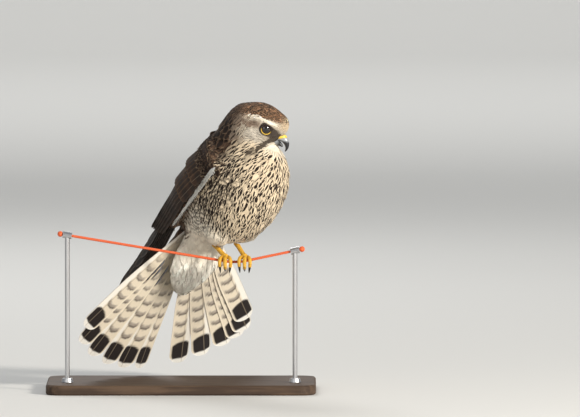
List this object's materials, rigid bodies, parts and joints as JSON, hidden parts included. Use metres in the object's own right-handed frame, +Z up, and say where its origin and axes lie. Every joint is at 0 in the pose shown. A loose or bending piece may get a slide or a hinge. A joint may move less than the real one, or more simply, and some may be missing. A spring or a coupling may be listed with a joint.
{
  "type": "perched kestrel model",
  "caption": "Life-size kestrel perched with its tail fanned, gripping a short twine that a plain two-rod stand holds up.",
  "frame": {"origin": "on the underside of the stand's base, straight below the middle of the grip", "axes": "+Z up, -Y towards the side the bird's breast is seen from, +X along the twine towards the side its bill points to"},
  "size_m": [0.27, 0.2143, 0.2932],
  "materials": {
    "base": "dark stained, satin",
    "rod": "satin",
    "twine": "twisted orange fibre",
    "plumage_buff": "soft feathers with dark streaks",
    "plumage_brown": "soft feathers, rufous brown with dark bars",
    "plumage_dark": "flight feathers, dark brown",
    "plumage_cream": "cream feathers with grey-brown bars",
    "eye": "wet dark brown",
    "yellow_skin": "scaled yellow skin",
    "horn": "blue-grey horn with a black tip",
    "claw": "black claw"
  },
  "bodies": {
    "root": {"stand_base": "base", "stand_rod_left": "rod", "stand_rod_right": "rod", "perch_twine": "twine", "torso": "plumage_buff", "neck": "plumage_buff", "head": "plumage_brown", "eye_right": "eye", "eye_left": "eye", "eyelid_right": "yellow_skin", "eyelid_left": "yellow_skin", "cere": "yellow_skin", "bill_upper": "horn", "bill_lower": "horn", "wing_right": "plumage_dark", "wing_left": "plumage_dark", "tail_right": "plumage_cream", "tail_left": "plumage_cream", "undertail_coverts": "plumage_cream", "uppertail_coverts": "plumage_brown", "thigh_right": "plumage_cream", "tarsus_right": "yellow_skin", "foot_right": "yellow_skin", "claw_right_1": "claw", "claw_right_2": "claw", "claw_right_3": "claw", "claw_right_4": "claw", "thigh_left": "plumage_cream", "tarsus_left": "yellow_skin", "foot_left": "yellow_skin", "claw_left_1": "claw", "claw_left_2": "claw", "claw_left_3": "claw", "claw_left_4": "claw"}
  },
  "joints": []
}
